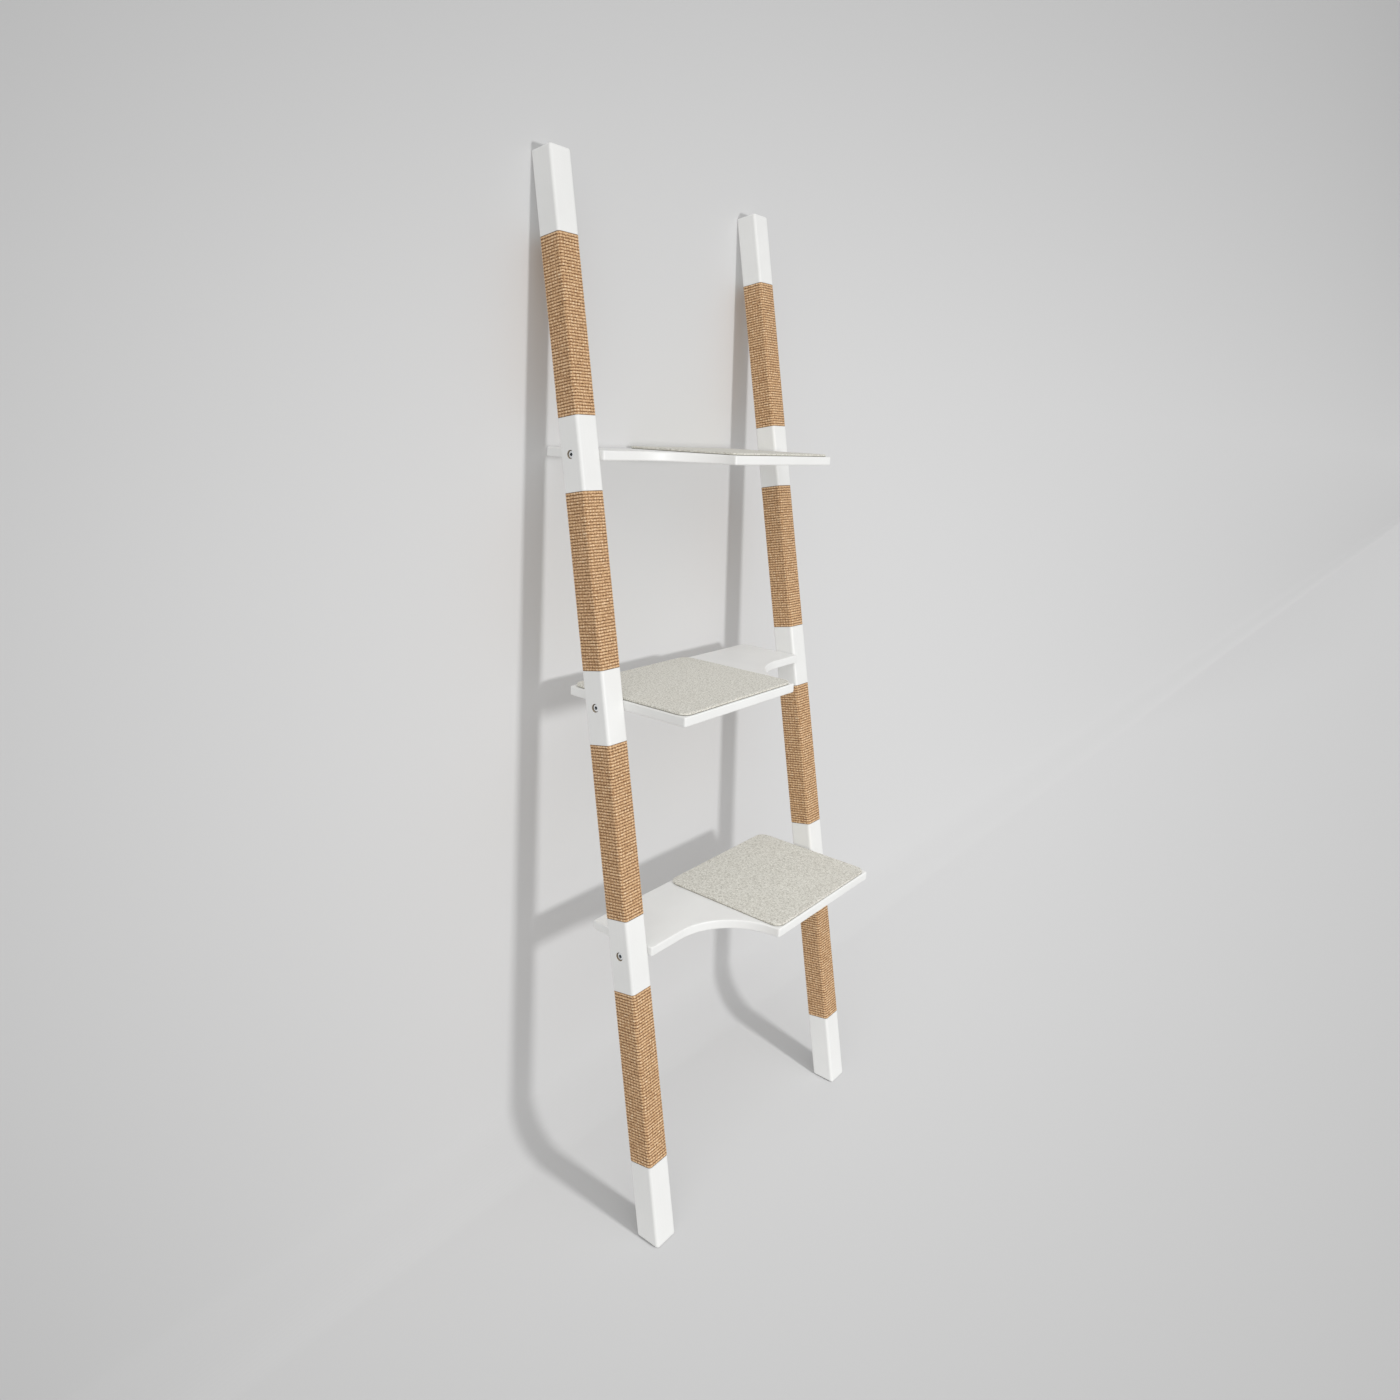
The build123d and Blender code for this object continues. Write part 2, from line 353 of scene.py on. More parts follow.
deselect_all()
bpy.ops.mesh.primitive_plane_add(size=1)
stage = bpy.context.object
stage.name = stage.data.name = "studio_floor_and_wall"
floor_back = WALL_Y + STAGE_GAP - COVE_RADIUS
stage.scale = (STAGE_LENGTH, STAGE_DEPTH, 1)
stage.location = (0, floor_back - STAGE_DEPTH / 2, -STAGE_GAP)
settle(stage)
bpy.ops.object.mode_set(mode="EDIT")
pick("edges", lambda ends: all(abs(end.y - floor_back) < CLOSE for end in ends))
turn_centre = (0, floor_back, COVE_RADIUS - STAGE_GAP)
bpy.ops.mesh.spin(steps=COVE_STEPS, angle=-pi / 2, center=turn_centre, axis=(1, 0, 0))
highest = max((corner.co for corner in bmesh.from_edit_mesh(stage.data).verts), key=lambda place: place.z)
top = highest.z
print("cove ends at height", round(top, 4), "and depth", round(highest.y, 4))
pick("edges", lambda ends: all(abs(end.z - top) < CLOSE for end in ends))
bpy.ops.mesh.extrude_region_move(TRANSFORM_OT_translate={"value": (0, 0, WALL_HEIGHT)})
bpy.ops.mesh.select_all(action="SELECT")
bpy.ops.mesh.normals_make_consistent(inside=False)
bpy.ops.object.mode_set(mode="OBJECT")
bpy.ops.object.shade_smooth_by_angle(angle=radians(40))
if min(stage.data.polygons, key=lambda face: face.center.z).normal.z < 0:
    stage.data.flip_normals()

# %% [markdown]
# ## Studio paint
# In the photograph no line shows between floor and wall, and the grey only fades evenly from the
# middle of the picture outwards. The paint does the same as painted light: a painted fade spreads
# out from the direction that the photographer looked in, and painted shade makes the paint darker by
# as much as the light is stronger there.
# The lamp's light follows from its place. The soft light was measured on test renders: it has an
# even part, more of it comes to the low part of the wall and to the cove, and less to the floor.
#
# The lamp meets the floor at a slant, so a flat floor would show the shadows much paler than the
# wall does. In the photograph they are as dark, as on a paper whose nap leans towards the lamp. So
# the floor is shaded with a normal that leans that way, and the wall keeps its own.
#
# The wall doesn't show from behind, so that the back of the ladder can be looked at too. Edges that
# nearly touch it would be black from there, so the light that it sends back to the ladder is even,
# as bright as the paint where no shadow lies on it.

# %% Paint on floor and wall
MIDDLE_LIGHT, LEAST_LIGHT = 0.715, 0.5
FADE_LIGHT = 0.66  # lost from the middle of the picture to square beside it
PALEST_PAINT = 0.95
NAP_LEAN = 1.0
SOFT_EVERYWHERE, SOFT_LOW_DOWN = 0.62, 0.075
LOW_DOWN = 1.6  # metres up to where the second share has faded out
SOFT_BY_SLOPE = ((1.0, 0.093), (4.5, -0.147), (40.0, -0.023))  # (power of how level it is, share)

paper, tree, shader = new_material("matt_studio_paint")
tree.nodes.remove(shader)
place = add_node(tree, "TexCoord").outputs["Object"]
surface = add_node(tree, "NewGeometry").outputs
upward = add_node(tree, "SeparateXYZ", inputs={0: surface["True Normal"]}).outputs["Z"]
slant = add_node(tree, "CombineXYZ", inputs={1: calc(tree, "MULTIPLY", upward, -NAP_LEAN)}).outputs["Vector"]
slant = calc_vector(tree, "ADD", "Vector", surface["True Normal"], slant)
nap = calc_vector(tree, "NORMALIZE", "Vector", slant)

sight = calc_vector(tree, "SUBTRACT", "Vector", place, PHOTOGRAPHER)
sight = calc_vector(tree, "NORMALIZE", "Vector", sight)
middle = (ahead + down * SHIFT_DOWN * PHOTO_SIDE / FOCAL_PIXELS).normalized()
towards_middle = calc_vector(tree, "DOT_PRODUCT", "Value", sight, middle)
# Painted light: the paint is brightest in the middle of the view and fades outwards.
wanted = calc(tree, "MULTIPLY_ADD", towards_middle, FADE_LIGHT, MIDDLE_LIGHT - FADE_LIGHT)
wanted = calc(tree, "MAXIMUM", wanted, LEAST_LIGHT)

to_lamp = calc_vector(tree, "SUBTRACT", "Vector", LAMP_PLACE, place)
facing = calc_vector(tree, "DOT_PRODUCT", "Value", nap, to_lamp)
strength = calc(tree, "MULTIPLY", facing, LAMP_WATTS / (4 * pi ** 2))
direct = calc(tree, "DIVIDE", strength, calc(tree, "POWER", calc_vector(tree, "LENGTH", "Value", to_lamp), 3.0))

above_floor = add_node(tree, "SeparateXYZ", inputs={0: place}).outputs["Z"]
low_down = calc(tree, "MAXIMUM", calc(tree, "MULTIPLY_ADD", above_floor, -1 / LOW_DOWN, 1.0), 0.0)
soft = calc(tree, "MULTIPLY_ADD", low_down, SOFT_LOW_DOWN, SOFT_EVERYWHERE)
for power, share in SOFT_BY_SLOPE:
    soft = calc(tree, "MULTIPLY_ADD", calc(tree, "POWER", upward, power), share, soft)
# Painted shade: the paint is darker by as much as the lamp and the soft light are stronger.
mixed = calc(tree, "DIVIDE", wanted, calc(tree, "ADD", direct, soft))
mixed = calc(tree, "MINIMUM", mixed, PALEST_PAINT)


def grey(value):
    """The same number for red, green and blue."""
    return add_node(tree, "CombineColor", inputs={0: value, 1: value, 2: value}).outputs["Color"]


matt = add_node(tree, "BsdfDiffuse", inputs={"Color": grey(mixed), "Normal": nap}).outputs["BSDF"]
even_light = add_node(tree, "Emission", inputs={"Color": grey(wanted)}).outputs["Emission"]
clear = add_node(tree, "BsdfTransparent").outputs["BSDF"]
sent_back = mix_shaders(tree, add_node(tree, "LightPath").outputs["Is Diffuse Ray"], matt, even_light)
one_sided = mix_shaders(tree, surface["Backfacing"], sent_back, clear)
tree.links.new(one_sided, tree.nodes["Material Output"].inputs["Surface"])
paper.cycles.emission_sampling = "NONE"
stage.data.materials.append(paper)
print("studio paint has", len(tree.nodes), "nodes")

# %% [markdown]
# ## White lacquer on wood
# The posts and boards are solid wood, sanded, sealed and sprayed with a white satin lacquer. The
# film is thin, so a trace of the grain shows through it as very low ridges and a faint change of
# tone along the wood, and the spray leaves a fine even texture. The grain is a noise that is
# stretched along the piece, so each way of cutting the wood gets its own turn of the pattern.

# %% Lacquered wood
GRAIN_WIDTH, GRAIN_LENGTH = 1.6 * MM, 160 * MM


def lacquered_wood(name, grain_axis, lean=0.0):
    """Satin lacquer whose grain runs along one axis of the piece."""
    material, tree, shader = new_material(name, Roughness=0.42, IOR=1.5)
    place = add_node(tree, "TexCoord").outputs["Object"]
    leant = add_node(tree, "Mapping", inputs={"Vector": place, "Rotation": (lean, 0, 0)}).outputs["Vector"]
    size = tuple(GRAIN_LENGTH if axis == grain_axis else GRAIN_WIDTH for axis in "XYZ")
    grain = spots(tree, leant, size, 3.0, Distortion=0.4)
    clouds = spots(tree, place, 90 * MM, 2.0)
    tone = calc(tree, "MULTIPLY_ADD", grain, 0.35, clouds)
    tint(tree, shader, tone, (0.35, "#E9E9E7"), (0.85, "#EEEEEC"))
    emboss(tree, shader, grain, 0.25, 0.06 * MM)
    spray = spots(tree, place, 1.2 * MM, 2.0)
    emboss(tree, shader, spray, 0.2, 0.02 * MM)
    return material


post_lacquer = lacquered_wood("satin_lacquer_on_post_wood", "Z", LEAN)
board_lacquer = lacquered_wood("satin_lacquer_on_board_wood", "X")
print(f"grain {GRAIN_WIDTH * 1000:.1f} mm wide")

# %% [markdown]
# ## Bare wood
# The holes are drilled through the finished lacquer, so their walls are bare beech, and so are the
# dowels. The beech is painted greyer and darker than bare beech as painted shade in the holes, which
# is why a thin dark ring shows round each bolt. Its pores lie in short streaks.

# %% Beech
bare_wood_with_painted_shade, tree, shader = new_material("bare_wood_painted_shade", Roughness=0.6)
place = add_node(tree, "TexCoord").outputs["Object"]
pores = spots(tree, place, (14 * MM, 0.8 * MM, 0.8 * MM), 3.0)
tint(tree, shader, pores, (0.35, "#A39580"), (0.65, "#BCAD98"))
emboss(tree, shader, pores, 0.3, 0.1 * MM)
print("material", bare_wood_with_painted_shade.name)

# %% [markdown]
# ## The posts
# Each post is a square length of wood with rounded long edges. Four bands are cut back so that the
# sisal lies flush, the foot is sawn level for the floor, and the back of the top is cut upright to
# lie on the wall. It is modelled upright first, as it would be milled: a block is bevelled, cut
# into bands with bisect, and the bands are pulled in. Then it is leant back, and the two cuts are
# made level and upright in the room.

# %% Upright post
GLUE = 0.2 * MM
RECESS_DEPTH = SLEEVE_THICKNESS + GLUE - SLEEVE_PROUD
TOP_BEVEL = 4 * MM
FOOT_BEVEL = 3.6 * MM


def band_ends(number):
    """Lowest and highest place of one sisal band on an upright post."""
    start = FOOT_BARE + number * (SLEEVE_LENGTH + SLEEVE_GAP)
    return start, start + SLEEVE_LENGTH


half = POST_SIDE / 2
upright = new_block("upright_post", (-half, -half, -POST_SIDE), (half, half, POST_LENGTH))
pick("edges", lambda ends: abs(ends[0].z - ends[1].z) > POST_SIDE)
bpy.ops.mesh.bevel(offset=POST_EDGE_RADIUS, segments=8, affect="EDGES")
pick("edges", lambda ends: all(abs(end.z - POST_LENGTH) < CLOSE for end in ends))
bpy.ops.mesh.bevel(offset=TOP_BEVEL, segments=4, affect="EDGES")
for number in range(4):
    for band_end in band_ends(number):
        bpy.ops.mesh.select_all(action="SELECT")
        bpy.ops.mesh.bisect(plane_co=(0, 0, band_end), plane_no=(0, 0, 1))
for number in range(4):
    start, end = band_ends(number)
    picked = pick("faces", lambda corners: all(start - CLOSE < corner.z < end + CLOSE for corner in corners)
                  and max(corner.z for corner in corners) > start + SLEEVE_LENGTH / 2
                  and min(corner.z for corner in corners) < end - SLEEVE_LENGTH / 2)
    pull_in = {"value": -RECESS_DEPTH, "use_even_offset": True}
    bpy.ops.mesh.extrude_region_shrink_fatten(TRANSFORM_OT_shrink_fatten=pull_in)
    print("band", number + 1, "faces", picked)
bpy.ops.object.mode_set(mode="OBJECT")

# %% [markdown]
# ## Bolt holes
# A bolt goes through the middle of each bare band, with its head sunk in a wider hole, and a dowel
# behind it keeps the board from turning. The drill is turned as a stepped shape, with a small
# flare for the broken edge of the sunk hole, and a Boolean takes it away from the post.

# %% Drills
BOLT_RADIUS = 4 * MM
HOLE_RADIUS = 4.5 * MM
SUNK_RADIUS = 7.7 * MM
SUNK_DEPTH = 10.5 * MM
SUNK_FLARE = 0.4 * MM
SEAT = POST_SIDE - SUNK_DEPTH
DOWEL_RADIUS = 4 * MM
DOWEL_REACH = 18 * MM
DOWEL_BEHIND = 14.5 * MM
INSERT_RADIUS = 6 * MM
INSERT_LENGTH = 23 * MM
PLAY = 0.1 * MM
OVERRUN = 3 * MM


def joint_place(level, side):
    """Middle of the face where a post meets a board."""
    along = FOOT_BARE + level * (SLEEVE_LENGTH + SLEEVE_GAP) + SLEEVE_LENGTH + SLEEVE_GAP / 2
    return Vector((side * INNER_X, FOOT_Y + along * sin(LEAN), along * cos(LEAN)))


def dowel_place(level, side):
    """Middle of the dowel in the same face."""
    return joint_place(level, side) + Vector((0, DOWEL_BEHIND, 0))


def turned_bar(name, steps, start, side):
    """Round bar along X from (distance, radius) steps, extruded from one end to the other."""
    deselect_all()
    bpy.ops.mesh.primitive_circle_add(vertices=48, radius=steps[0][1], fill_type="NGON")
    bar = bpy.context.object
    bar.name = bar.data.name = name
    bpy.ops.object.mode_set(mode="EDIT")
    bpy.ops.mesh.select_all(action="SELECT")
    bpy.ops.transform.translate(value=(0, 0, steps[0][0]))
    for (last_z, last_r), (z, r) in zip(steps, steps[1:]):
        bpy.ops.mesh.extrude_region_move(TRANSFORM_OT_translate={"value": (0, 0, z - last_z)})
        bpy.ops.transform.resize(value=(r / last_r, r / last_r, 1), center_override=(0, 0, z))
    bpy.ops.mesh.select_all(action="SELECT")
    bpy.ops.mesh.normals_make_consistent(inside=False)
    bpy.ops.object.mode_set(mode="OBJECT")
    bar.rotation_euler = (0, side * pi / 2, 0)
    bar.location = start
    settle(bar)
    return bar


def drill(radius, start, end, place, side):
    """Straight drill between two distances from the face where a post meets a board."""
    return turned_bar("drill", [(start, radius), (end, radius)], place, side)


def cut_away(piece, *tools):
    """Take the shapes of some tools out of a piece, and remove the tools."""
    for tool in tools:
        use_modifier(piece, "BOOLEAN", operation="DIFFERENCE", object=tool, solver="EXACT")
        bpy.data.objects.remove(tool)


def drill_post(post, side):
    """Cut the bolt and dowel holes of all three levels."""
    steps = [(-OVERRUN, HOLE_RADIUS), (SEAT, HOLE_RADIUS),
             (SEAT, SUNK_RADIUS), (POST_SIDE - SUNK_FLARE, SUNK_RADIUS),
             (POST_SIDE, SUNK_RADIUS + SUNK_FLARE), (POST_SIDE + OVERRUN, SUNK_RADIUS + SUNK_FLARE)]
    for level in range(3):
        bolt_hole = turned_bar("bolt_drill", steps, joint_place(level, side), side)
        dowel_hole = drill(DOWEL_RADIUS + PLAY, -OVERRUN, DOWEL_REACH + 1 * MM, dowel_place(level, side), side)
        cut_away(post, bolt_hole, dowel_hole)


def in_hole(middle, side):
    """Whether a place is on the wall or the floor of a drilled hole."""
    for level in range(3):
        holes = (joint_place(level, side), SUNK_RADIUS), (dowel_place(level, side), DOWEL_RADIUS + PLAY)
        for start, radius in holes:
            away = middle - start
            if away.yz.length < radius + PLAY / 2 and PLAY < side * away.x < POST_SIDE - PLAY:
                return True
    return False


# %% Lean, cut and drill the posts
def copy_of(pattern, name):
    """Copy a piece with a mesh of its own."""
    copy = pattern.copy()
    copy.data = pattern.data.copy()
    bpy.context.collection.objects.link(copy)
    copy.name = copy.data.name = name
    return copy


for side_name, side in SIDES.items():
    post = copy_of(upright, side_name + "_post_wood")
    post.rotation_euler = (-LEAN, 0, 0)
    post.location = (side * POST_X, FOOT_Y, 0)
    settle(post)
    bpy.ops.object.mode_set(mode="EDIT")
    bpy.ops.mesh.select_all(action="SELECT")
    bpy.ops.mesh.bisect(plane_co=(0, 0, FOOT_TOP), plane_no=(0, 0, 1), clear_inner=True, use_fill=True)
    pick("edges", lambda ends: all(abs(end.z - FOOT_TOP) < CLOSE for end in ends))
    bpy.ops.mesh.bevel(offset=FOOT_BEVEL, segments=3, affect="EDGES")
    bpy.ops.mesh.select_all(action="SELECT")
    bpy.ops.mesh.bisect(plane_co=(0, WALL_Y, 0), plane_no=(0, 1, 0), clear_outer=True, use_fill=True)
    bpy.ops.object.mode_set(mode="OBJECT")
    drill_post(post, side)
    smooth(post)
    finish_piece(post, post_lacquer, "lacquered_wood", side_name + "_post")
    # The walls of the holes get the greyer, darker beech: painted shade in the holes.
    paint_faces(post, bare_wood_with_painted_shade, lambda middle: in_hole(middle, side))
bpy.data.objects.remove(upright)

# %% [markdown]
# ## The boards
# A board is cut from a flat panel: a platform, a narrow neck, and a quarter-round cove between
# them. The outline is drawn by hand from the quarter circle of the cove, with its ends pulled out
# to the straight edges. It is filled, made 18 mm thick, and all its rims are rounded as with a
# router. The middle board is the same one turned over, so it is mirrored.

# %% One board
BOARD_LENGTH = 2 * INNER_X
BOARD_THICKNESS = 18 * MM
BOARD_BACK = 115 * MM
BOARD_DEPTH = 280 * MM
NECK_LENGTH = 83 * MM
NECK_DEPTH = 148 * MM
COVE = BOARD_DEPTH - NECK_DEPTH
CORNER_RADIUS = 4 * MM
RIM_RADIUS = 3 * MM

deselect_all()
bpy.ops.mesh.primitive_circle_add(vertices=144, radius=COVE, location=(NECK_LENGTH, -BOARD_DEPTH, 0))
board = bpy.context.object
board.name = board.data.name = "board_pattern"
settle(board)
bpy.ops.object.mode_set(mode="EDIT")
pick("verts", lambda place: place[0].x < NECK_LENGTH - CLOSE or place[0].y < -BOARD_DEPTH - CLOSE)
bpy.ops.mesh.delete(type="VERT")


def pull_end(at, *moves):
    """Extrude the vertex at one place of the outline through a row of moves."""
    pick("verts", lambda place: (place[0] - Vector((*at, 0))).length < CLOSE)
    for move in moves:
        bpy.ops.mesh.extrude_region_move(TRANSFORM_OT_translate={"value": (*move, 0)})


pull_end((NECK_LENGTH, -NECK_DEPTH), (-NECK_LENGTH, 0), (0, NECK_DEPTH), (BOARD_LENGTH, 0), (0, -BOARD_DEPTH))
bpy.ops.mesh.select_all(action="SELECT")
bpy.ops.mesh.edge_face_add()
pick("faces", lambda corners: True)
bpy.ops.transform.translate(value=(0, 0, -BOARD_THICKNESS / 2))
bpy.ops.mesh.extrude_region_move(TRANSFORM_OT_translate={"value": (0, 0, BOARD_THICKNESS)})
bpy.ops.mesh.select_all(action="SELECT")
bpy.ops.mesh.normals_make_consistent(inside=False)
outer_corners = [(0, 0), (0, -NECK_DEPTH), (NECK_LENGTH + COVE, -BOARD_DEPTH),
                 (BOARD_LENGTH, -BOARD_DEPTH), (BOARD_LENGTH, 0)]
pick("edges", lambda ends: abs(ends[0].z - ends[1].z) > BOARD_THICKNESS / 2
     and any((ends[0].to_2d() - Vector(corner)).length < CLOSE for corner in outer_corners))
bpy.ops.mesh.bevel(offset=CORNER_RADIUS, segments=5, affect="EDGES")
pick("edges", lambda ends: abs(ends[0].z - ends[1].z) < CLOSE)
bpy.ops.mesh.bevel(offset=RIM_RADIUS, segments=4, affect="EDGES")
bpy.ops.object.mode_set(mode="OBJECT")
print("board faces", len(board.data.polygons), "size", [round(size, 4) for size in board.dimensions])


# %% Place the boards
def signed_volume(piece):
    """Volume of a closed piece in cubic metres, below zero where its faces are turned inwards."""
    shape = bmesh.new()
    shape.from_mesh(piece.data)
    volume = shape.calc_volume(signed=True)
    shape.free()
    return volume


def place_from_pattern(pattern, name, level):
    """Copy a piece of the left-hand board pattern to its level, and mirror it for the middle board."""
    copy = copy_of(pattern, name)
    back_left = joint_place(level, -1) + Vector((0, BOARD_BACK, 0))
    copy.location = back_left
    if LEVELS[level] == "middle":
        copy.scale = (-1, 1, 1)
        copy.location.x = -back_left.x
    settle(copy)
    if signed_volume(copy) < 0:
        copy.data.flip_normals()
    return copy


for level, name in enumerate(LEVELS):
    shelf = place_from_pattern(board, name + "_board", level)
    for side in SIDES.values():
        bore = drill(INSERT_RADIUS + PLAY, -INSERT_LENGTH - 1 * MM, OVERRUN, joint_place(level, side), side)
        dowel_hole = drill(DOWEL_RADIUS + PLAY, -DOWEL_REACH - 2 * MM, OVERRUN, dowel_place(level, side), side)
        cut_away(shelf, bore, dowel_hole)
    smooth(shelf)
    finish_piece(shelf, board_lacquer, "lacquered_wood", name + "_shelf")
    print(shelf.name, "volume in litres", round(signed_volume(shelf) * 1000, 3))
bpy.data.objects.remove(board)

# %% [markdown]
# ## Sisal matting
# The matting is a tight weave of sisal: thick weft yarns in rows 5.42 mm apart over hidden warp
# threads. Each yarn is twisted from two strands, so a row reads as a line of small beads, and every
# 7 mm a warp thread pulls all the rows in a little. The sleeve is made as the real one is. A flat
# cloth is cut, its relief is raised, and it is wrapped round the post with a butt seam at the back.
# The height of each point is kept as an attribute, so that the colour can follow the relief.

# %% Sleeve cloth
ROW_PITCH = 5.42 * MM
TWIST_PITCH = 3.9 * MM
WARP_PITCH = 7.0 * MM
ROW_STEPS = 4
TWIST_STEPS = 3
YARN_RELIEF = 0.8 * MM
YARN_UNDER = 0.1 * MM  # of the highest yarn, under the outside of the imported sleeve
SEAM = 1.5 * MM
END_PLAY = 0.6 * MM

outer_side = POST_SIDE + 2 * SLEEVE_PROUD
outer_radius = POST_EDGE_RADIUS + SLEEVE_PROUD
straight = outer_side - 2 * outer_radius
quarter_arc = pi / 2 * outer_radius
around = 4 * (straight + quarter_arc)
cloth_width = around - SEAM
cloth_length = SLEEVE_LENGTH - END_PLAY
twists = round(cloth_width / TWIST_PITCH)
rows = round(cloth_length / ROW_PITCH)
print(f"cloth {cloth_width * 1000:.1f} by {cloth_length * 1000:.1f} mm, {rows} rows of {twists} twists")


def around_post(distance, depth):
    """Place on a rounded square ring, starting at the middle of the back, at a depth under its surface."""
    run = distance % around
    corner, rest = divmod(run + straight / 2, straight + quarter_arc)
    if rest < straight:
        flat = Vector((rest - straight / 2, outer_side / 2 - depth))
    else:
        turn = (rest - straight) / outer_radius
        centre = Vector((straight / 2, straight / 2))
        flat = centre + (outer_radius - depth) * Vector((sin(turn), cos(turn)))
    angle = -corner * pi / 2
    return Vector((flat.x * cos(angle) - flat.y * sin(angle), flat.x * sin(angle) + flat.y * cos(angle)))


def yarn_height(along, row_place, seed):
    """Height of the weave, from 0 in a gap to 1 on top of a yarn, some metres along and rows up."""
    # A row is a round yarn, twisted into beads, pulled in at each warp thread, and uneven all along.
    row = round(row_place * ROW_STEPS) // ROW_STEPS
    phase = 3 * sin(2.4 * row + seed)
    wander = noise.noise(Vector((along * 60, row * 2.3, seed)))
    round_yarn = abs(sin(pi * row_place)) ** 0.6
    twist = abs(sin(pi * (along / TWIST_PITCH + phase + 0.6 * wander + 0.5 * row_place)))
    pulled_in = abs(sin(pi * (along / WARP_PITCH + 0.3 * noise.noise(Vector((along * 20, row * 0.2, seed))))))
    plump = 1.0 + 0.3 * noise.noise(Vector((along * 130, row * 1.7, seed + 5)))
    return max(0.0, min(1.0, round_yarn * (0.68 + 0.32 * twist) * (0.62 + 0.38 * pulled_in) * plump))


def wrap_sleeve(name, side, number):
    """Make one sleeve from a flat cloth: relief, wrapping and place on the upright post."""
    deselect_all()
    bpy.ops.mesh.primitive_grid_add(x_subdivisions=twists * TWIST_STEPS, y_subdivisions=rows * ROW_STEPS,
                                    size=1)
    cloth = bpy.context.object
    cloth.name = cloth.data.name = name
    seed = 10 * number + 3 * side
    start = band_ends(number)[0] + END_PLAY / 2
    relief = cloth.data.attributes.new("relief", "FLOAT", "POINT")
    for vertex, stored in zip(cloth.data.vertices, relief.data):
        u, v = vertex.co.x + 0.5, vertex.co.y + 0.5
        height = yarn_height(u * cloth_width, v * rows, seed)
        depth = YARN_UNDER + YARN_RELIEF * (1 - height)
        place = around_post(SEAM / 2 + u * cloth_width, depth)
        stored.value = height
        vertex.co = (place.x, place.y, start + v * cloth_length)
    return cloth


# %% [markdown]
# ## What sisal looks like
# Sisal is a leaf fibre the colour of straw. Its yarns are pale on top and painted brown in the gaps,
# as painted shade where less light comes in, so the colour follows the relief that was stored while
# the cloth was raised. Over that lie the tones of single fibres, of tufts the size of a bead and of
# longer patches, as noise on the cloth's own UV map, in metres.

# %% Sisal material
sisal, tree, shader = new_material("woven_sisal", Roughness=0.7, IOR=1.45, Specular_IOR_Level=0.25)
relief_for_painted_shade = add_node(tree, "Attribute", {"attribute_name": "relief"}).outputs["Fac"]
cloth_map = add_node(tree, "UVMap", {"uv_map": "UVMap"}).outputs["UV"]
fibres = spots(tree, cloth_map, (5 * MM, 0.5 * MM, 1.0), 3.0)
tufts = spots(tree, cloth_map, (3.2 * MM, 2.4 * MM, 1.0), 2.0)
patches = spots(tree, cloth_map, (30 * MM, 9 * MM, 1.0), 2.0)
# The relief paints shade: the colour is darker in the gaps between the yarns.
tone = calc(tree, "MULTIPLY_ADD", relief_for_painted_shade, 0.46, -0.18)
for part, share in ((fibres, 0.35), (tufts, 0.75), (patches, 0.12)):
    tone = calc(tree, "MULTIPLY_ADD", part, share, tone)
tint(tree, shader, tone, (0.4, "#573B22"), (0.56, "#9D7551"),
     (0.7, "#C8A178"), (0.84, "#E4C198"), (0.97, "#F8E4C5"))
emboss(tree, shader, tone, 0.6, 0.8 * MM)
print("material", sisal.name)

# %% Sleeves on the posts
for side_name, side in SIDES.items():
    for number in range(4):
        sleeve = wrap_sleeve(f"{side_name}_sisal_{number + 1}", side, number)
        metres = sleeve.data.uv_layers[0]
        metres.name = "UVMap"
        for loop in metres.data:
            loop.uv = (loop.uv[0] * cloth_width, loop.uv[1] * cloth_length)
        outward = sleeve.data.polygons[0]
        if outward.normal.to_2d().dot(outward.center.to_2d()) < 0:
            sleeve.data.flip_normals()
        use_modifier(sleeve, "SOLIDIFY", thickness=SLEEVE_THICKNESS - YARN_RELIEF, offset=-1.0)
        sleeve.rotation_euler = (-LEAN, 0, 0)
        sleeve.location = (side * POST_X, FOOT_Y, 0)
        settle(sleeve)
        bpy.ops.object.shade_smooth()
        finish_piece(sleeve, sisal, "sisal", f"{side_name}_sleeve_{number + 1}")
print("sleeve volume in litres", round(signed_volume(sleeve) * 1000, 4))

# %% [markdown]
# ## Felt pads
# Each platform has a pad of pressed wool felt, 5 mm thick, cut with round corners and laid on the
# board. Felt is never quite even, so after the slab is shaped it is cut into a fine mesh and its
# top swells and sinks by a fraction of a millimetre. Its rim is softly rounded above and below, and
# the lower rim is painted dark as painted shade in the crease where the pad meets the board, which
# leaves a thin dark line along the board.

# %% Felt slab
PAD_LENGTH = 334 * MM
PAD_DEPTH = 274 * MM
PAD_THICKNESS = 5 * MM
PAD_CORNER = 20 * MM
TOP_RIM = 1.6 * MM
LOWER_RIM = 1.2 * MM
CUT_PITCH = 6 * MM
PLATFORM_LENGTH = BOARD_LENGTH - NECK_LENGTH - COVE

pad_middle = Vector((BOARD_LENGTH - PLATFORM_LENGTH / 2, -BOARD_DEPTH / 2, BOARD_THICKNESS / 2))
pad_half = Vector((PAD_LENGTH / 2, PAD_DEPTH / 2, 0))
pad_rise = Vector((0, 0, PAD_THICKNESS))
felt_pad = new_block("felt_pattern", pad_middle - pad_half, pad_middle + pad_half + pad_rise)
pick("edges", lambda ends: abs(ends[0].z - ends[1].z) > PAD_THICKNESS / 2)
bpy.ops.mesh.bevel(offset=PAD_CORNER, segments=12, affect="EDGES")
pick("edges", lambda ends: all(abs(end.z - BOARD_THICKNESS / 2 - PAD_THICKNESS) < CLOSE for end in ends))
bpy.ops.mesh.bevel(offset=TOP_RIM, segments=4, affect="EDGES")
pick("edges", lambda ends: all(abs(end.z - BOARD_THICKNESS / 2) < CLOSE for end in ends))
bpy.ops.mesh.bevel(offset=LOWER_RIM, segments=3, affect="EDGES")
